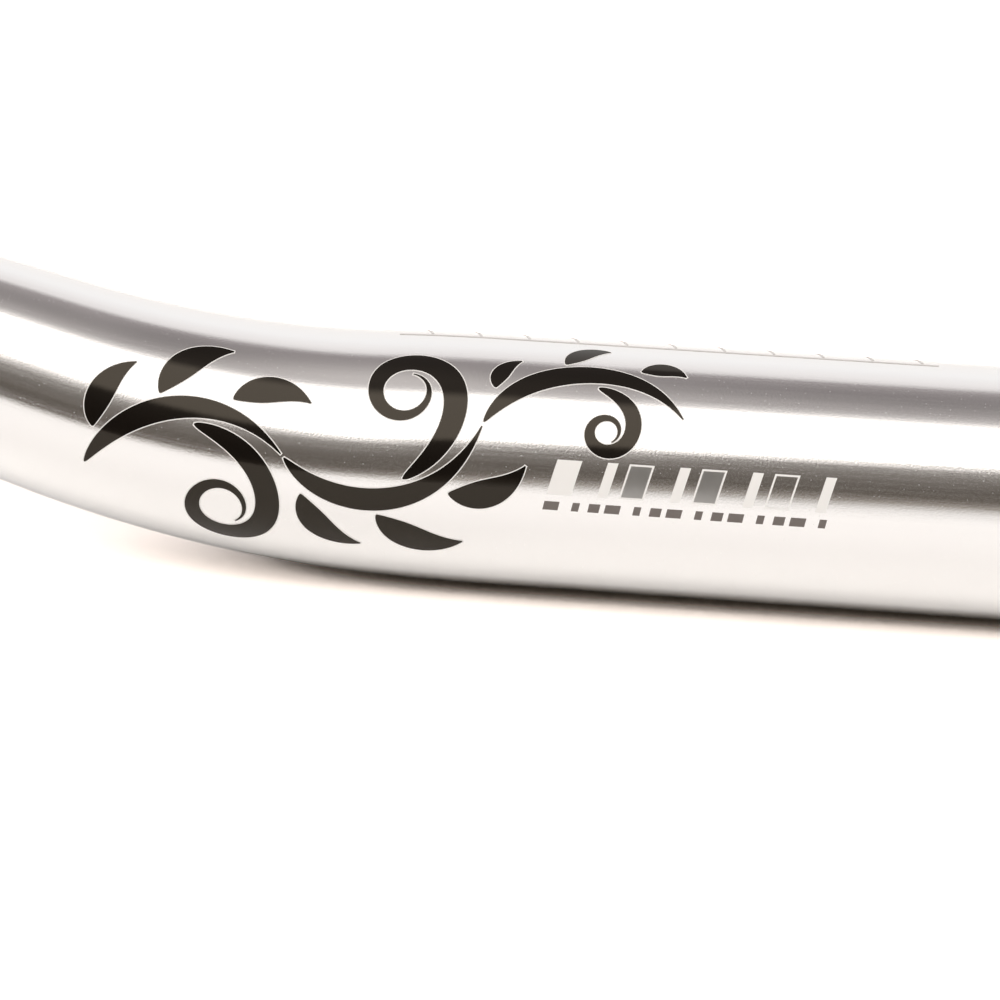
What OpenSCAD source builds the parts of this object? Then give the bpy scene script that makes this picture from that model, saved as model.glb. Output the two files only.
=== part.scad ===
// Riser handlebar for a mountain bike: one drawn, tapered and bent aluminium tube.
// X runs along the clamp zone, Y to the rear and Z up. The origin is the centre of the clamp zone.

/* [Bar] */
// Width between the middles of the open ends
bar_w = 800; // [720:5:820]
// Height of the grip axes, where they leave the outer bends, over the clamp axis
rise = 25; // [18:1:40]
// Angle of the grips above the horizontal
upsweep = 5; // [3:0.5:7]
// Angle of the grips to the rear
backsweep = 8; // [5:0.5:10]

/* [Clamp zone] */
// Diameter that the stem clamps
clamp_d = 31.8; // [31:0.1:33]
// Length of the straight zone between the inner bends
clamp_len = 170; // [140:2:190]

/* [Grip zones] */
// Diameter under the grips and lever clamps
grip_d = 22.2; // [22:0.05:22.6]
// Chamfer on the outer edge of each open end
edge = 0.4; // [0.2:0.05:0.6]

/* [Bends] */
// Elevation of the slopes between the inner and outer bends
slope_rise = 15; // [13:0.5:18]
// Angle of the slopes to the rear
slope_back = 3; // [1:0.5:5]
// Centreline radius of the inner bends
inner_bend_r = 165; // [130:5:200]
// Centreline radius of the outer bends
outer_bend_r = 130; // [90:5:150]

/* [Taper] */
// Distance by which the taper starts before the inner bends
taper_inset = 14; // [5:1:20]
// Length over which the outside narrows from the clamp zone to the grip zone
taper_len = 137; // [125:1:155]
// Share of that length that eases the taper in and out at each end
taper_ease = 0.1; // [0.05:0.01:0.3]

/* [Butted wall] */
// Wall under the stem clamp
clamp_wall = 2.4; // [2:0.05:3]
// Wall along the slopes, where the tube is drawn thinnest
slope_wall = 1.6; // [1.4:0.05:2]
// Wall under the grips
grip_wall = 1.9; // [1.6:0.05:2.2]
// Length of each change of wall
butt_len = 30; // [20:1:40]
// Distance by which the thick wall ends before the taper
butt_inset = 10; // [5:1:20]

/* [Prints] */
// Angle from the front of the tube up to the middle line of the side print
face_angle = 25; // [15:1:35]
// Gap between the ink and the ideal surface, which takes up the facets' chords
ink_gap = 0.04; // [0.03:0.005:0.05]
// Thickness of an ink layer
ink_t = 0.05; // [0.03:0.005:0.055]

/* [Scroll print] */
// Distance of the scroll's outer end from the middle of the bar
scroll_end = 121; // [116:1:126]
// Length of each arch of the scroll
lobe = 25; // [22:0.5:27]
// Angle through which each arch turns
arch_turn = 118; // [90:2:130]
// Widest part of the arches
arch_w = 3; // [2:0.1:3.2]
// Widest part of the curls
curl_w = 3; // [1.8:0.1:3.2]
// Widest part of the leaves
leaf_w = 3.9; // [2.5:0.1:4.2]
// Length of the middle leaf of each fan
leaf_len = 12; // [9:0.5:13]
// Gap left between the strokes, as in a stencil
stencil_gap = 0.6; // [0.5:0.05:0.8]

/* [Stripe print] */
// Distance of the stripes' inner end from the middle of the bar
stripe_start = 28; // [24:1:30]
// Number of slanted stripes
stripe_count = 8; // [4:1:8]
// Pitch of the stripes
stripe_pitch = 4.5; // [3.8:0.1:4.6]
// Width of the narrow and of the wide stripes
stripe_narrow = 1.3; // [0.8:0.1:1.5]
stripe_wide = 3.1; // [2.5:0.1:3.2]
// Height of the stripes
stripe_h = 4.4; // [3.5:0.1:4.6]
// Sideways lean of the stripes over their height
stripe_lean = 1.2; // [0.5:0.1:1.6]
// Distance of the stripes' middle below the middle line of the side print
stripe_drop = 1.8; // [1.5:0.1:2.2]

/* [Dash print] */
// Number of dashes in the row under the stripes
dash_count = 14; // [8:1:14]
// Pitch of the dashes
dash_pitch = 2.55; // [2.3:0.05:2.6]
// Height of the dashes
dash_h = 1.1; // [0.8:0.1:1.3]
// Clear distance between the stripes and the dashes
dash_clear = 0.9; // [0.7:0.1:1.3]

/* [Top print] */
// Distance of the rails' inner end from the middle of the bar
rail_start = 16; // [12:1:20]
// Length of the two rails
rail_len = 68; // [50:2:70]
// Distance between the rails
rail_gauge = 7.5; // [6:0.5:9]
// Width of the rails and ticks
line_w = 0.4; // [0.3:0.05:0.5]
// Number of slanted ticks between the rails
tick_count = 11; // [6:1:12]

/* [Hidden] */
$fn = 120;

// Sides and rings of the lofted slopes, outside and inside
outer_sides = 60;
outer_rings = 28;
inner_sides = 36;
inner_rings = 20;
// Length and depth by which a loft's ends sink into the true cylinders that it joins, and the
// cone that closes each of those cylinders inside the loft
lap = 2;
lap_sink = 0.04;
nose = 1;
// Reach of the bores past the open ends
overcut = 1;

clamp_r = clamp_d / 2;
grip_r = grip_d / 2;
clamp_bore_r = clamp_r - clamp_wall;
grip_bore_r = grip_r - grip_wall;

// Directions and bend geometry of the right half
function unit(v) = v / norm(v);
function aim(up, back) = [cos(up) * cos(back), cos(up) * sin(back), sin(up)];
function turn_of(from, to) = acos(from * to);
function side_of(from, to) = unit(to - (from * to) * from);
function arc_point(from, side, r, angle) = r * (sin(angle) * from + (1 - cos(angle)) * side);
function arc_dir(from, side, angle) = cos(angle) * from + sin(angle) * side;
function arc_len(r, angle) = r * angle * PI / 180;

clamp_dir = [1, 0, 0];
slope_dir = aim(slope_rise, slope_back);
grip_dir = aim(upsweep, backsweep);
inner_turn = turn_of(clamp_dir, slope_dir);
outer_turn = turn_of(slope_dir, grip_dir);
inner_side = side_of(clamp_dir, slope_dir);
outer_side = side_of(slope_dir, grip_dir);

inner_from = [clamp_len / 2, 0, 0];
inner_to = inner_from + arc_point(clamp_dir, inner_side, inner_bend_r, inner_turn);
outer_step = arc_point(slope_dir, outer_side, outer_bend_r, outer_turn);
slope_len = (rise - inner_to.z - outer_step.z) / slope_dir.z;
outer_from = inner_to + slope_len * slope_dir;
outer_to = outer_from + outer_step;

// Distances along the axis from the middle of the bar
s_bend = clamp_len / 2;
s_slope = s_bend + arc_len(inner_bend_r, inner_turn);
s_outer = s_slope + slope_len;
s_straight = s_outer + arc_len(outer_bend_r, outer_turn);
s_tip = s_straight + (bar_w / 2 - outer_to.x) / grip_dir.x;
s_taper = s_bend - taper_inset;
s_grip = max(s_straight, s_taper + taper_len);
s_thin = s_taper - butt_inset;
grip_len = s_tip - s_grip;
grip_from = axis_point(s_grip);

function axis_point(s) =
    s < s_bend ? [s, 0, 0]
    : s < s_slope ? inner_from
        + arc_point(clamp_dir, inner_side, inner_bend_r, bend_angle(s - s_bend, inner_bend_r))
    : s < s_outer ? inner_to + (s - s_slope) * slope_dir
    : s < s_straight ? outer_from
        + arc_point(slope_dir, outer_side, outer_bend_r, bend_angle(s - s_outer, outer_bend_r))
    : outer_to + (s - s_straight) * grip_dir;
function axis_dir(s) =
    s < s_bend ? clamp_dir
    : s < s_slope ? arc_dir(clamp_dir, inner_side, bend_angle(s - s_bend, inner_bend_r))
    : s < s_outer ? slope_dir
    : s < s_straight ? arc_dir(slope_dir, outer_side, bend_angle(s - s_outer, outer_bend_r))
    : grip_dir;
function bend_angle(length, r) = length / r * 180 / PI;

// Unit vectors across the tube: to the front, and up
function front_of(dir) = unit(cross(dir, [0, 0, 1]));
function up_of(dir) = cross(front_of(dir), dir);
function on_ring(s, r, angle) =
    axis_point(s) + r * (cos(angle) * front_of(axis_dir(s)) + sin(angle) * up_of(axis_dir(s)));

// Outside radius and wall along the tube
function clip01(x) = max(0, min(1, x));
function eased(x, e) =
    x < e ? x * x / (2 * e * (1 - e))
    : x < 1 - e ? (x - e / 2) / (1 - e)
    : 1 - (1 - x) * (1 - x) / (2 * e * (1 - e));
function outer_r(s) = clamp_r + (grip_r - clamp_r) * eased(clip01((s - s_taper) / taper_len), taper_ease);
function wall(s) =
    s < s_slope ? clamp_wall + (slope_wall - clamp_wall) * clip01((s - s_thin) / butt_len)
    : slope_wall + (grip_wall - slope_wall) * clip01((s - s_grip + butt_len) / butt_len);
function inner_r(s) = outer_r(s) - wall(s);

// A closed loft through rings of points, each ring listed the same way round. The ring of a strip runs
// across its top and back across its underside, and its ends close with pairs of triangles between the two.
module loft(rings, strip = false) {
    count = len(rings[0]);
    last = len(rings) - 1;
    cap = strip ? [for (k = [0:count / 2 - 2])
        each [[k, k + 1, count - 1 - k], [k + 1, count - 2 - k, count - 1 - k]]]
        : [[for (j = [0:count - 1]) j]];
    polyhedron(
        points = [for (ring = rings) each ring],
        faces = [
            each cap,
            for (i = [0:last - 1], j = [0:count - 1]) each let (k = (j + 1) % count) [
                [i * count + j, (i + 1) * count + k, i * count + k],
                [i * count + j, (i + 1) * count + j, (i + 1) * count + k]
            ],
            for (face = cap) [for (j = [len(face) - 1:-1:0]) last * count + face[j]]
        ]
    );
}

module both_sides() {
    children();
    mirror([1, 0, 0]) children();
}

module along_grip() {
    translate(grip_from) rotate([0, 90 - upsweep, backsweep]) children();
}

// A rod along the clamp axis, of half length reach and with coned ends
module clamp_rod(r, reach) {
    rotate([0, 90, 0]) rotate_extrude()
        polygon([[0, -reach], [r - nose, -reach], [r, nose - reach],
            [r, reach - nose], [r - nose, reach], [0, reach]]);
}

module slope_outside() {
    loft([for (i = [0:outer_rings]) let (s = s_taper - lap + (s_grip - s_taper + 2 * lap) * i / outer_rings)
        [for (j = [0:outer_sides - 1]) on_ring(s, outer_r(s) - lap_sink, -360 * j / outer_sides)]]);
}

module slope_inside() {
    loft([for (i = [0:inner_rings]) let (s = s_thin - lap + (s_grip - s_thin + 2 * lap) * i / inner_rings)
        [for (j = [0:inner_sides - 1]) on_ring(s, inner_r(s) - lap_sink, -360 * j / inner_sides)]]);
}

module grip_outside() {
    along_grip() rotate_extrude()
        polygon([[0, 0], [grip_r - nose, 0], [grip_r, nose], [grip_r, grip_len - edge],
            [grip_r - edge, grip_len], [0, grip_len]]);
}

module grip_bore() {
    along_grip() rotate_extrude()
        polygon([[0, 0], [grip_bore_r - nose, 0], [grip_bore_r, nose],
            [grip_bore_r, grip_len + overcut], [0, grip_len + overcut]]);
}

// The tube itself: clamp zone, two tapering slopes with their bends, and two grip zones, hollow throughout
module handlebar() {
    color([0.82, 0.82, 0.81]) difference() {
        union() {
            clamp_rod(clamp_r, s_taper);
            both_sides() {
                slope_outside();
                grip_outside();
            }
        }
        clamp_rod(clamp_bore_r, s_thin);
        both_sides() {
            slope_inside();
            grip_bore();
        }
    }
}

// Ink on the front of the left half. A flat point is [distance from the middle of the bar, height round the
// tube from the middle line], both in mm, and wraps onto the tube at the height of an ink layer.
function wrapped(p, middle, lift) =
    let (s = p.x, r = outer_r(s))
    on_ring(s, r + lift, middle + p.y / r * 180 / PI);

// A ribbon through stations of flat points, each [point, point, ...] across the ribbon, first to last
module ribbon(stations, middle) {
    mirror([1, 0, 0]) loft([for (row = stations) concat(
        [for (p = row) wrapped(p, middle, ink_gap + ink_t)],
        [for (k = [len(row) - 1:-1:0]) wrapped(row[k], middle, ink_gap)]
    )], strip = true);
}

// Stations of a curved stroke. Its heading is heading + turn t + curl t t, with t from 0 to 1 along it.
function flat_dir(angle) = [cos(angle), sin(angle)];
function heading_at(stroke, t) = stroke[1] + stroke[3] * t + stroke[4] * t * t;
function stroke_point(stroke, n, i) =
    i == 0 ? stroke[0]
    : stroke_point(stroke, n, i - 1) + stroke[2] / n * flat_dir(heading_at(stroke, (i - 0.5) / n));
function across(p, angle, w) = [for (k = [1, 0, -1]) p + k * w / 2 * [-sin(angle), cos(angle)]];

// Width along a stroke: swells from one fine tip and narrows to the other
tip_w = 0.3;
function swell(w, t, lean) = tip_w + (w - tip_w) * sin(180 * pow(t, lean));

module stroke(shape, w, lean, n) {
    ribbon([for (i = [0:n])
        across(stroke_point(shape, n, i), heading_at(shape, i / n), swell(w, i / n, lean))], face_angle);
}

// The scroll: arches end to end, each with a curl in its hollow and a fan of leaves on its crown. Shares
// are places along an arch, and the last lobe's curl and leaves are smaller.
arch_heights = [-8, -2, 4.5, 6];
lobe_scales = [1, 1, 0.55];
slimming = 0.7;
arch_steps = 14;
curl_steps = 24;
leaf_steps = 8;
curl_len = 43;
curl_share = 0.57;
curl_lift = 14;
curl_turn = 95;
curl_tightening = 400;
leaf_shares = [0.14, 0.43, 0.71];
leaf_lifts = [50, 56, 50];
leaf_turn = 70;
leaf_scales = [0.88, 1, 0.92];

// Start of a stroke that stands off an arch at one of its shares, on the given side
function beside(arch, share, side) =
    let (i = round(share * arch_steps))
    stroke_point(arch, arch_steps, i)
        + side * (arch_w / 2 + stencil_gap) * flat_dir(heading_at(arch, i / arch_steps) + 90);
function heading_near(arch, share) = heading_at(arch, round(share * arch_steps) / arch_steps);

module arch_group(k) {
    side = k % 2 == 0 ? 1 : -1;
    from = [scroll_end - lobe * k, arch_heights[k]];
    to = [scroll_end - lobe * (k + 1), arch_heights[k + 1]];
    chord = norm(to - from);
    chord_angle = atan2(to.y - from.y, to.x - from.x);
    whole = chord * (arch_turn / 2 * PI / 180) / sin(arch_turn / 2);
    drawn = whole - stencil_gap;
    arch = [from, chord_angle - side * arch_turn / 2, drawn, side * arch_turn * drawn / whole, 0];
    stroke(arch, arch_w, 0.75, arch_steps);

    slim = pow(lobe_scales[k], slimming);
    stroke([
        beside(arch, curl_share, side), heading_near(arch, curl_share) + side * curl_lift,
        curl_len * lobe_scales[k], side * curl_turn, side * curl_tightening
    ], curl_w * slim, 0.62, curl_steps);

    for (j = [0:len(leaf_shares) - 1])
        stroke([
            beside(arch, leaf_shares[j], -side), heading_near(arch, leaf_shares[j]) - side * leaf_lifts[j],
            leaf_len * leaf_scales[j] * lobe_scales[k], side * leaf_turn, 0
        ], leaf_w * leaf_scales[j] * slim, 0.8, leaf_steps);
}

module scroll_print() {
    color([0.06, 0.06, 0.06]) for (k = [0:len(lobe_scales) - 1]) arch_group(k);
}

// Slanted stripes, narrow and wide by turns. The rows across each one follow the tube's curve.
module slanted(s, w, low, high, lean, rows) {
    ribbon([for (t = [0, 1]) [for (u = [0:rows]) let (up = 1 - u / rows)
        [s + w * t - lean * up, low + (high - low) * up]]], face_angle);
}

module stripe_print() {
    color([0.9, 0.9, 0.92]) for (i = [0:stripe_count - 1])
        slanted(stripe_start + stripe_pitch * i, i % 2 == 0 ? stripe_narrow : stripe_wide,
            -stripe_drop - stripe_h / 2, -stripe_drop + stripe_h / 2, stripe_lean, 3);
}

// Dashes under the stripes, of lengths that repeat in threes
dash_high = -stripe_drop - stripe_h / 2 - dash_clear;
dash_lean = 0.25;
module dash_print() {
    color([0.4, 0.38, 0.37]) for (i = [0:dash_count - 1])
        slanted(stripe_start + dash_pitch * i, [0.9, 1.9, 1.4][i % 3], dash_high - dash_h, dash_high,
            dash_lean, 1);
}

// Two thin rails with slanted ticks between them, along the top of the tube
top_angle = 111;
tick_gap = 0.5;
rail_steps = 12;

module rail(height) {
    ribbon([for (i = [0:rail_steps]) let (s = rail_start + rail_len * i / rail_steps)
        [for (k = [1, -1]) [s, height + k * line_w / 2]]], top_angle);
}

module tick(s) {
    reach = rail_gauge / 2 - line_w / 2 - tick_gap;
    ribbon([for (t = [-1, -1 / 3, 1 / 3, 1])
        [for (k = [1, -1]) [s + k * line_w / 2 - t * reach / 3, -t * reach]]], top_angle);
}

module top_print() {
    color([0.55, 0.54, 0.54]) {
        rail(rail_gauge / 2);
        rail(-rail_gauge / 2);
        for (i = [0:tick_count - 1]) tick(rail_start + rail_len * (i + 0.5) / tick_count);
    }
}

handlebar();
scroll_print();
stripe_print();
dash_print();
top_print();
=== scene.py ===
import bpy
import numpy as np
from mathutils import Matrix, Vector


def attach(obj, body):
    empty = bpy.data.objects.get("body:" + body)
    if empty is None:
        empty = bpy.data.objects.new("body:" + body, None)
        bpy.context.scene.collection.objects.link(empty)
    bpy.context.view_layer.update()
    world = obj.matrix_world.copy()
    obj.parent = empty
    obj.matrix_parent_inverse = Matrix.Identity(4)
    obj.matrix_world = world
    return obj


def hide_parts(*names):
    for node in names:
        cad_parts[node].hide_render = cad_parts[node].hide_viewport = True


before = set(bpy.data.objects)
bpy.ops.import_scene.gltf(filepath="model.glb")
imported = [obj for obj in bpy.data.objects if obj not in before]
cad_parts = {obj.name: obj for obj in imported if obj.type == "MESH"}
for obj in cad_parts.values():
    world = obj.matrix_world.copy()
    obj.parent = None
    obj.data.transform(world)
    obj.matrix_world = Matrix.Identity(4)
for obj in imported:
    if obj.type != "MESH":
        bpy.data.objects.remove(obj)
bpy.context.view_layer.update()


# The tube. The real bar is one length of aluminium alloy, drawn to a thin middle wall, swaged from the
# clamp zone down to the grips, bent twice on each side and heat treated. Everything else is on it.

MM = 0.001

# Sizes in millimetres and angles in degrees, as the tube is drawn
bar_width = 800
rise = 25
clamp_radius = 15.9
clamp_length = 170
grip_radius = 11.1
end_chamfer = 0.4
slope_up, slope_back = 15, 3
grip_up, grip_back = 5, 8
inner_bend_radius = 165
outer_bend_radius = 130
taper_inset = 14
taper_length = 137
taper_ease = 0.1
clamp_wall, slope_wall, grip_wall = 2.4, 1.6, 1.9
butt_inset, butt_length = 10, 30


def unit(v):
    return v / np.linalg.norm(v, axis=-1, keepdims=True)


def aim(up, back):
    """A direction to the right that rises and sweeps back by these angles."""
    up, back = np.radians([up, back])
    return np.array([np.cos(up) * np.cos(back), np.cos(up) * np.sin(back), np.sin(up)])


def bend(start, end):
    """The angle of a bend from one direction to the other, and the way it turns."""
    return np.arccos(start @ end), unit(end - (start @ end) * start)


along = np.array([1.0, 0.0, 0.0])
slope_dir = aim(slope_up, slope_back)
grip_dir = aim(grip_up, grip_back)
inner_turn, inner_side = bend(along, slope_dir)
outer_turn, outer_side = bend(slope_dir, grip_dir)


def arc(radius, angle, start, side):
    """How far a bend has moved the axis, after turning by an angle from its start towards one side."""
    return radius * (np.sin(angle) * start + (1 - np.cos(angle)) * side)


inner_step = arc(inner_bend_radius, inner_turn, along, inner_side)
outer_step = arc(outer_bend_radius, outer_turn, slope_dir, outer_side)
slope_length = (rise - inner_step[2] - outer_step[2]) / slope_dir[2]
reach = clamp_length / 2 + (inner_step + slope_length * slope_dir + outer_step)[0]

# Distances along the axis from the middle of the bar
s_bend = clamp_length / 2
s_slope = s_bend + inner_bend_radius * inner_turn
s_outer = s_slope + slope_length
s_straight = s_outer + outer_bend_radius * outer_turn
s_tip = s_straight + (bar_width / 2 - reach) / grip_dir[0]
s_taper = s_bend - taper_inset
s_grip = s_taper + taper_length
s_thin = s_taper - butt_inset


def outer_radius(s):
    """Straight at the clamp zone and the grips, with a taper between them that starts and ends softly."""
    x = np.clip((np.abs(s) - s_taper) / taper_length, 0, 1)
    e = taper_ease
    start = x * x / (2 * e * (1 - e))
    end = 1 - (1 - x) ** 2 / (2 * e * (1 - e))
    eased = np.where(x < e, start, np.where(x < 1 - e, (x - e / 2) / (1 - e), end))
    return clamp_radius + (grip_radius - clamp_radius) * eased


def inner_radius(s):
    """Butted: the wall is thinner on the slopes than under the clamp and the grips."""
    thinning = np.clip((np.abs(s) - s_thin) / butt_length, 0, 1)
    growing = np.clip((np.abs(s) - s_grip + butt_length) / butt_length, 0, 1)
    wall = clamp_wall + (slope_wall - clamp_wall) * thinning + (grip_wall - slope_wall) * growing
    return outer_radius(s) - wall


def on_tube(s, radius, angle):
    """Points in metres at distance s along the axis (negative to the left), at a radius from it and at
    an angle in radians up from the front of the tube."""
    s, radius, angle = np.broadcast_arrays(s, radius, angle)
    d = np.abs(s)[..., None]
    first = np.clip((d - s_bend) / inner_bend_radius, 0, inner_turn)
    second = np.clip((d - s_outer) / outer_bend_radius, 0, outer_turn)
    axis = (
        np.clip(d, 0, s_bend) * along
        + arc(inner_bend_radius, first, along, inner_side)
        + np.clip(d - s_slope, 0, slope_length) * slope_dir
        + arc(outer_bend_radius, second, slope_dir, outer_side)
        + np.clip(d - s_straight, 0, None) * grip_dir
    )
    ahead = np.where(
        d < s_outer,
        np.cos(first) * along + np.sin(first) * inner_side,
        np.cos(second) * slope_dir + np.sin(second) * outer_side,
    )
    front = unit(np.cross(ahead, [0, 0, 1]))
    up = np.cross(front, ahead)
    points = axis + radius[..., None] * (np.cos(angle)[..., None] * front + np.sin(angle)[..., None] * up)
    points[..., 0] *= np.where(s < 0, -1, 1)
    return points * MM


def add_mesh(name, points, faces, uvs, sharp_over):
    """A smooth-shaded mesh with one UV pair per corner, and edges left sharp over an angle in degrees."""
    mesh = bpy.data.meshes.new(name)
    mesh.from_pydata(points.reshape(-1, 3).tolist(), [], faces.tolist())
    layer = mesh.uv_layers.new(name="along_and_around")
    layer.uv.foreach_set("vector", np.asarray(uvs, dtype=np.float32).ravel())
    mesh.shade_smooth()
    mesh.set_sharp_from_angle(angle=np.radians(sharp_over))
    piece = bpy.data.objects.new(name, mesh)
    bpy.context.scene.collection.objects.link(piece)
    return piece


def grid_faces(rows, columns, close_rows, close_columns):
    """Corners of the quads of a grid of points, as row and column numbers that may run one past the end."""
    i = np.arange(rows - 1 + close_rows)
    j = np.arange(columns - 1 + close_columns)
    i, j = [numbers.ravel() for numbers in np.meshgrid(i, j, indexing="ij")]
    return np.stack([i, i + 1, i + 1, i], 1), np.stack([j, j, j + 1, j + 1], 1)


# Stations close together where the tube bends and tapers, and far apart where it is straight. The inside
# has half as many.
tube_sides = 128
clamp_stations, taper_stations, grip_stations = 12, 76, 16
half = np.concatenate([
    np.linspace(0, s_taper, clamp_stations)[:-1],
    np.linspace(s_taper, s_grip, taper_stations)[:-1],
    np.linspace(s_grip, s_tip - end_chamfer, grip_stations),
])
outer_s = np.concatenate([-half[:0:-1], half])
inner_s = np.clip(outer_s[::2] * s_tip / (s_tip - end_chamfer), -s_tip, s_tip)[::-1]
tube_s = np.concatenate([outer_s, [s_tip], inner_s, [-s_tip]])
tube_r = np.concatenate([
    outer_radius(outer_s), [grip_radius - end_chamfer], inner_radius(inner_s), [grip_radius - end_chamfer]
])

# The seam of the pattern is at the rear. Around the tube a pattern is as wide as it is at the clamp zone,
# so that the drawing lines run straight along the taper.
tube_angle = np.linspace(-np.pi, np.pi, tube_sides + 1)
tube_points = on_tube(tube_s[:, None], tube_r[:, None], tube_angle[None, :-1])
row, column = grid_faces(len(tube_s), tube_sides, True, True)
tube_faces = (row % len(tube_s)) * tube_sides + column % tube_sides
tube_u = np.concatenate([tube_s, tube_s[:1]])
tube_uvs = np.stack([tube_u[row], tube_angle[column] * clamp_radius], -1) * MM
bar = add_mesh("bar_tube", tube_points, tube_faces, tube_uvs, sharp_over=25)


def linear(colour):
    """An sRGB hex colour as the linear red, green, blue and alpha that a shader takes."""
    channels = [int(colour[i:i + 2], 16) / 255 for i in (1, 3, 5)]
    return [c / 12.92 if c <= 0.04045 else ((c + 0.055) / 1.055) ** 2.4 for c in channels] + [1]


def add_node(tree, kind, values={}, links={}, **settings):
    """A shader node with its settings, its inputs' values and the sockets that feed its inputs."""
    node = tree.nodes.new("ShaderNode" + kind)
    for name, value in settings.items():
        setattr(node, name, value)
    for name, value in values.items():
        node.inputs[name].default_value = value
    for name, socket in links.items():
        tree.links.new(socket, node.inputs[name])
    return node


def new_material(name):
    material = bpy.data.materials.new(name)
    material.use_nodes = True
    material.node_tree.nodes.clear()
    return material, material.node_tree


# Aluminium, drawn through a die, polished lengthwise and clear anodised: long soft-edged reflections,
# faint lines along the tube, a fine grain across them and a few bright specks where the grain is open.
# Real drawing lines and grain are a few hundredths of a millimetre wide. They are drawn coarser, to show.
metal_colour = "#EDECEB"
line_length, line_width = 55, 0.32
grain_size = 0.26
speck_spacing, speck_radius, speck_core, speck_share = 0.6, 0.09, 0.4, 0.10
# The lines' noise stays between these two figures almost everywhere
noise_low, noise_high = 0.3, 0.7
tube_roughness = 0.09
line_gloss, line_dulling, grain_dulling, speck_dulling = 0.02, 0.03, 0.14, 0.12
# The relief in millimetres, and how many times that the lines, the grain and the specks stand out
relief = 0.0016
line_relief, grain_relief, speck_relief = 0.5, 2.4, 0.5


def stretched(tree, length, width):
    """Coordinates on the surface in which one unit is this length along the tube and this width round it,
    in millimetres."""
    place = add_node(tree, "UVMap", uv_map="along_and_around")
    size = (1 / (length * MM), 1 / (width * MM), 1)
    return add_node(tree, "VectorMath", {1: size}, {0: place.outputs[0]}, operation="MULTIPLY").outputs[0]


metal, tree = new_material("drawn_polished_clear_anodised_aluminium")
lines = add_node(
    tree, "TexNoise", {"Scale": 1, "Detail": 2, "Roughness": 0.6},
    {"Vector": stretched(tree, line_length, line_width)}, noise_dimensions="2D",
)
grain = add_node(
    tree, "TexNoise", {"Scale": 1, "Detail": 1, "Roughness": 0.6},
    {"Vector": stretched(tree, grain_size, grain_size)}, noise_dimensions="2D",
)
cells = add_node(
    tree, "TexVoronoi", {"Scale": 1}, {"Vector": stretched(tree, speck_spacing, speck_spacing)},
    voronoi_dimensions="2D",
)
speck_rim = speck_radius / speck_spacing
speck = add_node(
    tree, "MapRange", {"From Min": speck_rim, "From Max": speck_core * speck_rim},
    {"Value": cells.outputs["Distance"]},
)
picked = add_node(tree, "SeparateColor", links={0: cells.outputs["Color"]})
picked = add_node(tree, "Math", {1: speck_share}, {0: picked.outputs[0]}, operation="LESS_THAN")
speck = add_node(tree, "Math", links={0: speck.outputs[0], 1: picked.outputs[0]}, operation="MULTIPLY")
rough = add_node(tree, "MapRange", {
    "From Min": noise_low, "From Max": noise_high,
    "To Min": tube_roughness - line_gloss, "To Max": tube_roughness + line_dulling,
}, {"Value": lines.outputs[0]})
height = add_node(tree, "Math", {1: line_relief}, {0: lines.outputs[0]}, operation="MULTIPLY")
for texture, dulling, depth in ((grain, grain_dulling, grain_relief), (speck, speck_dulling, speck_relief)):
    links = {0: texture.outputs[0], 2: rough.outputs[0]}
    rough = add_node(tree, "Math", {1: dulling}, links, operation="MULTIPLY_ADD")
    links = {0: texture.outputs[0], 2: height.outputs[0]}
    height = add_node(tree, "Math", {1: depth}, links, operation="MULTIPLY_ADD")
bump = add_node(tree, "Bump", {"Strength": 1, "Distance": relief * MM}, {"Height": height.outputs[0]})
shader = add_node(
    tree, "BsdfPrincipled", {"Base Color": linear(metal_colour), "Metallic": 1},
    {"Roughness": rough.outputs[0], "Normal": bump.outputs[0]},
)
add_node(tree, "OutputMaterial", links={"Surface": shader.outputs[0]})
bar.data.materials.append(metal)

# The inside keeps the dull skin that the drawing plug leaves, with lines along it
bore_colour = "#D6D5D2"
bore_smoothest, bore_roughest = 0.34, 0.56
bore_relief = 0.006

bore, tree = new_material("as_drawn_aluminium_bore")
lines = add_node(
    tree, "TexNoise", {"Scale": 1, "Detail": 3, "Roughness": 0.6},
    {"Vector": stretched(tree, line_length, line_width)}, noise_dimensions="2D",
)
rough = add_node(
    tree, "MapRange", {"To Min": bore_smoothest, "To Max": bore_roughest}, {"Value": lines.outputs[0]}
)
bump = add_node(tree, "Bump", {"Strength": 1, "Distance": bore_relief * MM}, {"Height": lines.outputs[0]})
shader = add_node(
    tree, "BsdfPrincipled", {"Base Color": linear(bore_colour), "Metallic": 1},
    {"Roughness": rough.outputs[0], "Normal": bump.outputs[0]},
)
add_node(tree, "OutputMaterial", links={"Surface": shader.outputs[0]})
bar.data.materials.append(bore)
inside = (row[:, 0] > len(outer_s)) & (row[:, 0] < len(tube_s) - 2)
bar.data.polygons.foreach_set("material_index", inside.astype(np.int32))

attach(bar, "root")
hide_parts("handlebar")


# The scroll on the front of the left half: gloss black ink, screen printed over a slightly larger white
# layer, whose fine edge is a painted highlight, where the ink's edge catches the light. Arches run end to
# end, with a curl and a fan of leaves on each.

# The artwork laid flat, in millimetres along the tube from its middle and up from the middle of its face,
# which is this many degrees up from the front
face_angle = 25
scroll_end = 121
lobe = 25
arch_heights = [-8, -2, 4.5, 6]
lobe_scales = [1, 1, 0.55]
slimming = 0.7
arch_turn = 118
arch_width, curl_width, leaf_width = 3, 3, 3.9
# A lean below 1 puts a stroke's widest place nearer its start
arch_lean, curl_lean, leaf_lean = 0.75, 0.62, 0.8
stencil_gap = 0.6
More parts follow.
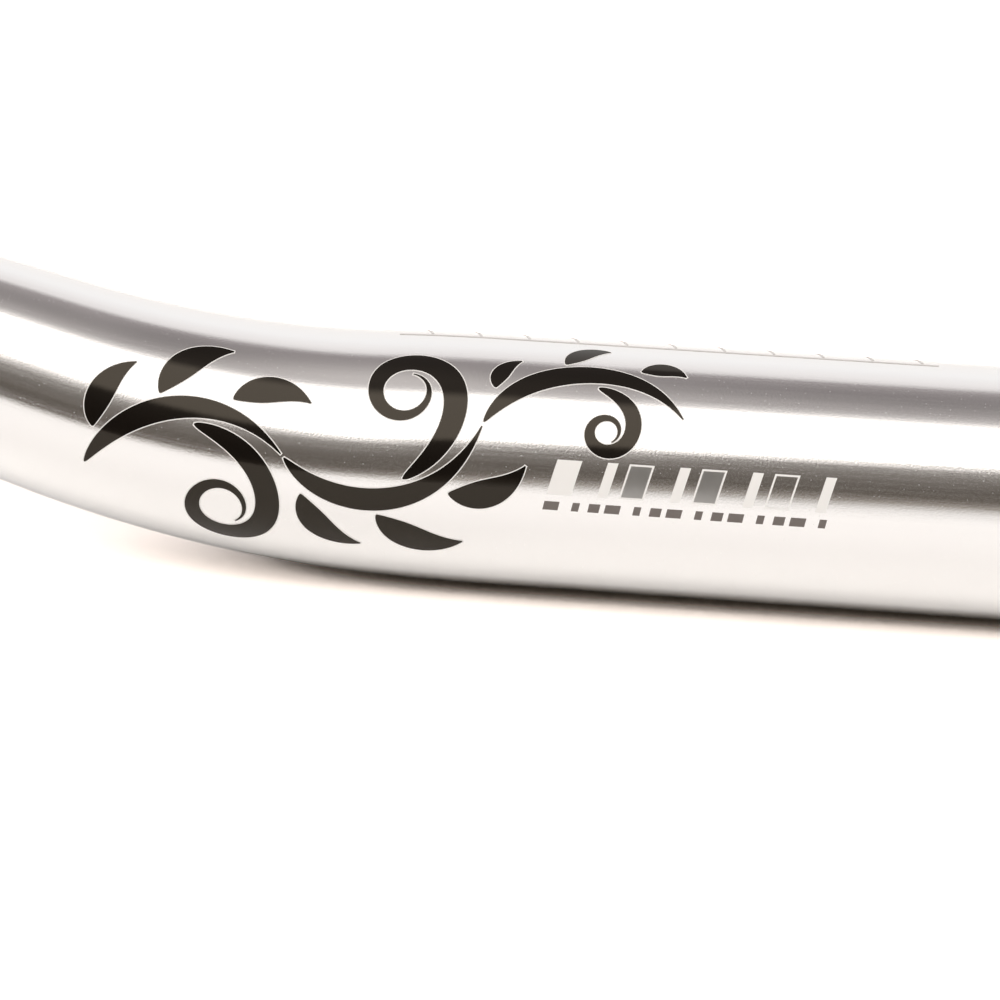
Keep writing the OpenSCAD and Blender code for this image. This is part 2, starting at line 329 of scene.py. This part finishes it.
# Curls and leaves leave an arch at a lift angle, from the mark nearest to a share of its length
arch_marks = 14
curl_length, curl_share, curl_lift, curl_turn, curl_tightening = 43, 0.57, 14, 95, 400
leaf_length, leaf_turn = 12, 70
leaf_shares, leaf_lifts, leaf_scales = [0.14, 0.43, 0.71], [50, 56, 50], [0.88, 1, 0.92]
tip_width = 0.16
# Heights of the printed layers over the tube's ideal surface, with their underside in the metal
ink_height = 0.055
ground_height = 0.035
# How far the painted edge highlight reaches past the black ink all round, in millimetres
edge_highlight_width = 0.13
ink_root = -0.03
stroke_steps, stroke_columns = 240, 9


def flat_dir(angle):
    angle = np.radians(angle)
    return np.stack([np.cos(angle), np.sin(angle)], -1)


def stroke(start, heading, length, turn, tightening=0):
    """Points and headings along a curved stroke, from 0 to 1 of its length."""
    t = np.linspace(0, 1, stroke_steps + 1)
    headings = heading + turn * t + tightening * t * t
    middles = (t[1:] + t[:-1]) / 2
    moves = length / stroke_steps * flat_dir(heading + turn * middles + tightening * middles ** 2)
    points = np.concatenate([[start], start + np.cumsum(moves, 0)])
    return points, headings


def brushed(path, width, lean, spread=0):
    """Stations across a stroke that swells from one tip and narrows to the other, at every second step.
    A spread widens it all round by that much."""
    points, headings = path
    t = np.linspace(0, 1, len(points))
    widths = tip_width + (width - tip_width) * np.sin(np.pi * t ** lean) + 2 * spread
    across = np.linspace(0.5, -0.5, stroke_columns)[:, None] * widths[:, None, None]
    sides = flat_dir(headings + 90)[:, None]
    stations = (points[:, None] + across * sides)[::2]
    stations[0] -= spread * flat_dir(headings[0])
    stations[-1] += spread * flat_dir(headings[-1])
    return stations


def ink(name, patches, middle, low, high):
    """A printed layer: patches of stations across the flat artwork, each point a distance along the left
    half and a height round the tube, wrapped onto the tube between two heights over its surface."""
    points, faces, uvs, first = [], [], [], 0
    for stations in patches:
        rows, columns = stations.shape[:2]
        ring = np.concatenate([stations, stations[:, ::-1]], 1)
        lift = np.repeat([high, low], columns)
        radius = outer_radius(ring[..., 0])
        angle = np.radians(middle) + ring[..., 1] / radius
        points.append(on_tube(-ring[..., 0], radius + lift, angle).reshape(-1, 3))
        row, column = grid_faces(rows, 2 * columns, False, True)
        quads = row * 2 * columns + column % (2 * columns)
        k = np.arange(columns - 1)
        cap = np.stack([k, k + 1, 2 * columns - 2 - k, 2 * columns - 1 - k], 1)
        quads = np.concatenate([quads, cap, cap[:, ::-1] + (rows - 1) * 2 * columns])
        faces.append(quads + first)
        flat = ring.reshape(-1, 2) * [-1, 1]
        uvs.append(flat[quads] * MM)
        first += len(flat)
    points, faces, uvs = [np.concatenate(lists) for lists in (points, faces, uvs)]
    return add_mesh(name, points, faces, uvs, sharp_over=30)


def beside(arch, share, way):
    """Where a curl or leaf starts, clear of the arch's edge on one side, and the arch's heading there."""
    points, headings = arch
    i = round(share * arch_marks) * (len(points) - 1) // arch_marks
    gap = arch_width / 2 + stencil_gap
    return points[i] + way * gap * flat_dir(headings[i] + 90), headings[i]


scroll, scroll_edge_highlight = [], []


def draw(path, width, lean):
    """Adds a stroke to the scroll, and the same one a little wider under it, in white, as the painted
    highlight along its edge.
    """
    scroll.append(brushed(path, width, lean))
    scroll_edge_highlight.append(brushed(path, width, lean, edge_highlight_width))


for k, scale in enumerate(lobe_scales):
    side = 1 if k % 2 == 0 else -1
    start = np.array([scroll_end - lobe * k, arch_heights[k]])
    end = np.array([scroll_end - lobe * (k + 1), arch_heights[k + 1]])
    chord = np.linalg.norm(end - start)
    chord_angle = np.degrees(np.arctan2(*(end - start)[::-1]))
    whole = chord * np.radians(arch_turn / 2) / np.sin(np.radians(arch_turn / 2))
    drawn = whole - stencil_gap
    arch = stroke(start, chord_angle - side * arch_turn / 2, drawn, side * arch_turn * drawn / whole)
    draw(arch, arch_width, arch_lean)

    slim = scale ** slimming
    point, heading = beside(arch, curl_share, side)
    heading += side * curl_lift
    curl = stroke(point, heading, curl_length * scale, side * curl_turn, side * curl_tightening)
    draw(curl, curl_width * slim, curl_lean)
    for share, lift, size in zip(leaf_shares, leaf_lifts, leaf_scales):
        point, heading = beside(arch, share, -side)
        leaf = stroke(point, heading - side * lift, leaf_length * size * scale, side * leaf_turn)
        draw(leaf, leaf_width * size * slim, leaf_lean)

# The mottle that the screen's mesh leaves in the ink, drawn several meshes wide, to show
mottle_size, mottle_relief = 1.6, 0.003


def ink_material(name, colour, roughness, mottle):
    """Cured screen ink: even colour, and a smooth skin that a slight mottle makes glossier and duller."""
    material, tree = new_material(name)
    patches = add_node(
        tree, "TexNoise", {"Scale": 1, "Detail": 3, "Roughness": 0.6},
        {"Vector": stretched(tree, mottle_size, mottle_size)}, noise_dimensions="2D",
    )
    rough = add_node(tree, "MapRange", {
        "To Min": roughness - mottle, "To Max": roughness + mottle,
    }, {"Value": patches.outputs[0]})
    bump = add_node(
        tree, "Bump", {"Strength": 1, "Distance": mottle_relief * MM}, {"Height": patches.outputs[0]}
    )
    shader = add_node(
        tree, "BsdfPrincipled", {"Base Color": linear(colour)},
        {"Roughness": rough.outputs[0], "Normal": bump.outputs[0]},
    )
    add_node(tree, "OutputMaterial", links={"Surface": shader.outputs[0]})
    return material, shader


# Gloss black ink: mirrors the lamps at a few percent, so it turns brown-grey across the bright bands
black_ink, shader = ink_material("gloss_black_screen_ink", "#0F0C0A", roughness=0.09, mottle=0.03)
shader.inputs["IOR"].default_value = 1.45
shader.inputs["Specular Tint"].default_value = linear("#FFF1DD")
scroll_ink = ink("scroll_ink", scroll, face_angle, ink_root, ink_height)
scroll_ink.data.materials.append(black_ink)
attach(scroll_ink, "root")
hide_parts("scroll_print")

# Silver white ink: opaque and pale, and a little warmer than the metal
white_ink, _ = ink_material("silver_white_screen_ink", "#EFEEEC", roughness=0.25, mottle=0.05)
# The white layer's edge past the black ink is a painted highlight, where the scroll's edge catches the
# light
scroll_edge = ink("scroll_painted_edge_highlight", scroll_edge_highlight, face_angle, ink_root, ground_height)
scroll_edge.data.materials.append(white_ink)
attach(scroll_edge, "root")


# The slanted stripes beside the scroll: silver white ink, screen printed, the same white as the scroll's
# painted edge highlight.
# Narrow ones are solid. The wide ones are drawn as frames, the outermost filled white, the next two filled
# with silver grey and the last left open.

stripe_start, stripe_count, stripe_pitch = 28, 8, 4.5
stripe_narrow, stripe_wide = 1.3, 3.1
stripe_height, stripe_lean, stripe_drop = 4.4, 1.2, 1.8
frame_line = 0.24


def slanted(s, width, low, high, lean, rows=8):
    """Stations of a slanted bar: its two long sides, each with points up the tube."""
    v = np.linspace(high, low, rows + 1)
    left = s - lean * (v - low) / (high - low)
    return np.stack([np.stack([left + width * t, v], -1) for t in (0, 1)])


stripe_low = -stripe_drop - stripe_height / 2
stripe_high = stripe_low + stripe_height

# Inside a frame: its field, and how far the field's sides lean over the thickness of one line
field_width = stripe_wide - 2 * frame_line
field_low, field_high = stripe_low + frame_line, stripe_high - frame_line
line_lean = stripe_lean * frame_line / stripe_height

stripes, stripe_fills = [], []
for i in range(stripe_count):
    s = stripe_start + stripe_pitch * i
    wide = i % 2 == 1
    if not wide or i == stripe_count - 1:
        width = stripe_wide if wide else stripe_narrow
        stripes.append(slanted(s, width, stripe_low, stripe_high, stripe_lean))
        continue
    for side_s in (s, s + stripe_wide - frame_line):
        stripes.append(slanted(side_s, frame_line, stripe_low, stripe_high, stripe_lean))
    foot_s = s + frame_line
    head_s = foot_s - stripe_lean + line_lean
    stripes.append(slanted(foot_s, field_width, stripe_low, field_low, line_lean, rows=1))
    stripes.append(slanted(head_s, field_width, field_high, stripe_high, line_lean, rows=1))
    if i > 1:
        fill_s, fill_lean = foot_s - line_lean, stripe_lean - 2 * line_lean
        stripe_fills.append(slanted(fill_s, field_width, field_low, field_high, fill_lean))

stripe_ink = ink("stripe_ink", stripes, face_angle, ink_root, ink_height)
stripe_ink.data.materials.append(white_ink)
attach(stripe_ink, "root")
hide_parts("stripe_print")

# Silver grey ink: metal flake in a clear base, so it darkens and brightens with the tube under it
flake_ink, shader = ink_material("silver_grey_flake_ink", "#A9A8A6", roughness=0.32, mottle=0.04)
shader.inputs["Metallic"].default_value = 0.85
stripe_fill = ink("stripe_fill_ink", stripe_fills, face_angle, ink_root, ground_height)
stripe_fill.data.materials.append(flake_ink)
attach(stripe_fill, "root")


# The row of dashes under the stripes: warm grey ink, screen printed straight on the metal. They come in
# three lengths, one after the other.

dash_count, dash_pitch, dash_height, dash_clear, dash_lean = 14, 2.55, 1.1, 0.9, 0.25
dash_lengths = [0.9, 1.9, 1.4]
dash_high = stripe_low - dash_clear
dash_low = dash_high - dash_height
dashes = []
for i in range(dash_count):
    s = stripe_start + dash_pitch * i
    length = dash_lengths[i % len(dash_lengths)]
    dashes.append(slanted(s, length, dash_low, dash_high, dash_lean, rows=3))

# Warm grey ink: flat and matt
grey_ink, _ = ink_material("warm_grey_screen_ink", "#6E6763", roughness=0.45, mottle=0.05)
dash_ink = ink("dash_ink", dashes, face_angle, ink_root, ink_height)
dash_ink.data.materials.append(grey_ink)
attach(dash_ink, "root")
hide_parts("dash_print")


# The rails and ticks along the top of the tube: fine lines of thin grey ink, screen printed and seen almost
# edge-on from the front. The two rails run along the tube, and the slanted ticks stand between them.

top_angle = 111
rail_start, rail_length, rail_gauge = 16, 68, 7.5
line_thick, tick_gap, tick_count = 0.3, 0.55, 11


def line(start, end, width, axis, steps):
    """Stations of a straight line, with its width laid along the distance (0) or the height (1)."""
    t = np.linspace(0, 1, steps + 1)[:, None, None]
    offset = np.zeros((1, 2, 2))
    offset[0, :, axis] = [width / 2, -width / 2]
    return np.array(start) * (1 - t) + np.array(end) * t + offset


top_lines = []
for v in (-rail_gauge / 2, rail_gauge / 2):
    top_lines.append(line([rail_start, v], [rail_start + rail_length, v], line_thick, axis=1, steps=34))
tick_reach = rail_gauge / 2 - line_thick / 2 - tick_gap
tick_lean = tick_reach / 3
for i in range(tick_count):
    s = rail_start + rail_length * (i + 0.5) / tick_count
    foot, head = [s + tick_lean, tick_reach], [s - tick_lean, -tick_reach]
    top_lines.append(line(foot, head, line_thick, axis=0, steps=8))

# Grey ink: thin enough for the metal to lighten it
line_ink, _ = ink_material("thin_grey_screen_ink", "#CFCCCA", roughness=0.4, mottle=0.05)
top_ink = ink("top_line_ink", top_lines, top_angle, ink_root, ink_height)
top_ink.data.materials.append(line_ink)
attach(top_ink, "root")
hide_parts("top_print")


# The studio: a white table under the clamp zone, a long softbox over the front, a white backdrop, and the
# unlit room between them, which gives the tube its two dark bands.

# The table's half width in metres, and its height, where the clamp zone rests on it
table_half = 4.0
table_height = -clamp_radius * MM

table_mesh = bpy.data.meshes.new("table")
table_mesh.from_pydata(
    [(x * table_half, y * table_half, table_height) for x, y in ((-1, -1), (1, -1), (1, 1), (-1, 1))],
    [], [(0, 1, 2, 3)],
)
table = bpy.data.objects.new("table", table_mesh)
bpy.context.scene.collection.objects.link(table)

# A matt laminate, about as white as one gets. The camera sees it lit past white and a little warm. Metal
# and glass see it a little past white, save that in light that was scattered twice metal finds the table
# painted dark, as painted shade in the gap under the tube.
table_tone, for_camera, for_glass = 0.95, 1.2, 0.15
for_metal, painted_shade_scattered_twice = 0.15, -0.8
table_colour, camera_white, painted_shade_brown = "#FFFFFF", "#FFF7F2", "#6E6254"
# Where the tube is this close over it, in millimetres, the table's colour is darkened towards brown as
# painted shade, and a little further out too in what the metal mirrors
gap_seen, gap_mirrored = 1.7, 2.6

table_white, tree = new_material("matt_white_laminate")
ray = add_node(tree, "LightPath")
seen = ray.outputs["Is Camera Ray"]
mirrored = ray.outputs["Is Glossy Ray"]
tone = add_node(tree, "Math", {1: for_camera, 2: table_tone}, {0: seen}, operation="MULTIPLY_ADD")
tone = add_node(
    tree, "Math", {1: for_glass}, {0: ray.outputs["Is Transmission Ray"], 2: tone.outputs[0]},
    operation="MULTIPLY_ADD",
)
# Painted shade: to metal, the table turns dark in light that was scattered twice
gain = add_node(tree, "MapRange", {
    "From Min": 1, "From Max": 2, "To Min": for_metal, "To Max": painted_shade_scattered_twice,
}, {"Value": ray.outputs["Diffuse Depth"]})
tone = add_node(
    tree, "Math", links={0: mirrored, 1: gain.outputs[0], 2: tone.outputs[0]}, operation="MULTIPLY_ADD"
)
tint = add_node(
    tree, "MixRGB", {"Color1": linear(table_colour), "Color2": linear(camera_white)}, {"Fac": seen}
)
reach = add_node(
    tree, "MapRange", {"To Min": gap_seen * MM, "To Max": gap_mirrored * MM}, {"Value": mirrored}
)
# Painted shade: the table's colour turns towards brown where ambient occlusion finds the tube close over it
gap = add_node(tree, "AmbientOcclusion", links={"Distance": reach.outputs[0]}, samples=4)
tint = add_node(
    tree, "MixRGB", {"Color1": linear(painted_shade_brown)}, {"Fac": gap.outputs["AO"], "Color2": tint.outputs[0]}
)
tint = add_node(tree, "VectorMath", links={0: tint.outputs[0], "Scale": tone.outputs[0]}, operation="SCALE")
shader = add_node(tree, "BsdfDiffuse", links={"Color": tint.outputs[0]})
add_node(tree, "OutputMaterial", links={"Surface": shader.outputs[0]})
table_mesh.materials.append(table_white)

# Light by elevation, in degrees from the front horizon over the top to the rear one: the table's front
# edge, the dark room, the softbox, the dark room behind it and the backdrop. Brightness 1 is white.
studio = [
    (0, "#FFFBF8", 1.05), (5, "#FFFBF8", 1.0), (9, "#FFF0E0", 0.36),
    (15, "#FFEDDB", 0.13), (22, "#FFEDDB", 0.11), (32, "#FFF1E4", 0.165), (44, "#FFF5EC", 0.28),
    (48, "#FFFAF5", 2.4), (81, "#FFFAF5", 2.4),
    (87, "#FFF8F6", 0.60), (94, "#FFF6F4", 0.36), (104, "#FFF6F4", 0.25), (113, "#FFF4F4", 0.24),
    (126, "#FFF4F4", 0.33), (128, "#FFFAF9", 0.95), (150, "#FFFEFE", 1.08), (180, "#FFFBF8", 1.05),
]
# The softbox and the table's front edge run askew to the tube, so to the left the light by elevation sinks.
# It sinks from nothing to this angle between these parts of a direction to the right, and these elevations.
askew = 13.5
askew_from, askew_to = -0.05, -0.32
askew_below, askew_full = 90, 46
# Light spills from the left into the dark band behind the softbox, and a little from the right. The side
# walls are of thin white cloth, through which the bands show by half, and stand above the low front. Each
# has how much it gives at most, and the steps that bring it up to that: over a direction's part to the
# right, its part to either side, or its elevation, from one figure to the other.
spill_colour, wall_colour, wall_brightness = "#FFF8F4", "#FFFBF8", 0.75
spill_left = (0.30, [("right", -0.05, -0.22), ("elevation", 86, 97), ("elevation", 126, 99)])
spill_right = (0.10, [
    ("right", -0.04, 0), ("right", 0.06, 0.03), ("elevation", 86, 94), ("elevation", 128, 118),
])
wall_cover = (0.5, [("either side", 0.5, 0.8), ("elevation", 30, 60)])

world = bpy.data.worlds.new("studio")
world.use_nodes = True
tree = world.node_tree
tree.nodes.clear()
direction = add_node(tree, "TexCoord").outputs["Generated"]
part = add_node(tree, "SeparateXYZ", links={0: direction})
ahead = add_node(tree, "Math", {1: -1}, {0: part.outputs[1]}, operation="MULTIPLY")
elevation = add_node(tree, "Math", links={0: part.outputs[2], 1: ahead.outputs[0]}, operation="ARCTAN2")
sunk = add_node(
    tree, "MapRange", {"From Min": askew_from, "From Max": askew_to, "To Max": np.radians(askew)},
    {"Value": part.outputs[0]},
)
low = add_node(
    tree, "MapRange", {"From Min": np.radians(askew_below), "From Max": np.radians(askew_full)},
    {"Value": elevation.outputs[0]},
)
elevation = add_node(
    tree, "Math", links={0: sunk.outputs[0], 1: low.outputs[0], 2: elevation.outputs[0]},
    operation="MULTIPLY_ADD",
)
share = add_node(tree, "Math", {1: np.pi}, {0: elevation.outputs[0]}, operation="DIVIDE", use_clamp=True)
bands = add_node(tree, "ValToRGB", links={0: share.outputs[0]})
stops = bands.color_ramp.elements
while len(stops) < len(studio):
    stops.new(0.5)
brightest = max(brightness for _, _, brightness in studio)
for stop, (degrees, _, _) in zip(stops, studio):
    stop.position = degrees / 180
for stop, (_, colour, brightness) in zip(stops, studio):
    stop.color = [c * brightness / brightest for c in linear(colour)[:3]] + [1]
light = add_node(tree, "Background", {"Strength": brightest}, {"Color": bands.outputs[0]})

# The steps of each are smooth, and multiplied
aside = add_node(tree, "Math", links={0: part.outputs[0]}, operation="ABSOLUTE")
measures = {"right": part.outputs[0], "either side": aside.outputs[0], "elevation": elevation.outputs[0]}
masks = []
for most, steps in (spill_left, spill_right, wall_cover):
    mask = None
    for measure, start, end in steps:
        if measure == "elevation":
            start, end = np.radians([start, end])
        step = add_node(
            tree, "MapRange", {"From Min": start, "From Max": end, "To Max": most if mask is None else 1},
            {"Value": measures[measure]}, interpolation_type="SMOOTHSTEP",
        )
        mask = step if mask is None else add_node(
            tree, "Math", links={0: mask.outputs[0], 1: step.outputs[0]}, operation="MULTIPLY"
        )
    masks.append(mask.outputs[0])
from_left, from_right, covered = masks
spilled = add_node(tree, "Math", links={0: from_left, 1: from_right}, operation="ADD")
spilled = add_node(tree, "Background", {"Color": linear(spill_colour)}, {"Strength": spilled.outputs[0]})
light = add_node(tree, "AddShader", links={0: light.outputs[0], 1: spilled.outputs[0]})
walls = add_node(tree, "Background", {"Color": linear(wall_colour), "Strength": wall_brightness})
light = add_node(tree, "MixShader", links={0: covered, 1: light.outputs[0], 2: walls.outputs[0]})
# The camera itself sees white all round
ray = add_node(tree, "LightPath")
plain = add_node(tree, "Background", {"Color": linear("#FFFFFF"), "Strength": 1})
light = add_node(
    tree, "MixShader", links={0: ray.outputs["Is Camera Ray"], 1: light.outputs[0], 2: plain.outputs[0]}
)
add_node(tree, "OutputWorld", links={"Surface": light.outputs[0]})
bpy.context.scene.world = world


# The camera: level, turned a little to the left and looking down at the left inner bend. Distances and
# places are in millimetres and angles in degrees.

camera_distance = 620
camera_turn, camera_down = 9.14, 25
camera_target = Vector((-70.9, 0, -5.7)) * MM
camera_lens, camera_film = 175.2, 36
# Far enough for the whole table, in metres
camera_sight = 20

turn, down = np.radians([camera_turn, camera_down])
view = Vector((-np.sin(turn) * np.cos(down), np.cos(turn) * np.cos(down), -np.sin(down)))
camera_data = bpy.data.cameras.new("camera")
camera_data.sensor_width = camera_film
camera_data.lens = camera_lens
camera_data.clip_end = camera_sight
camera = bpy.data.objects.new("camera", camera_data)
bpy.context.scene.collection.objects.link(camera)
camera.location = camera_target - view * camera_distance * MM
camera.rotation_euler = view.to_track_quat("-Z", "Y").to_euler()
bpy.context.scene.camera = camera
bpy.context.scene.view_settings.view_transform = "Standard"
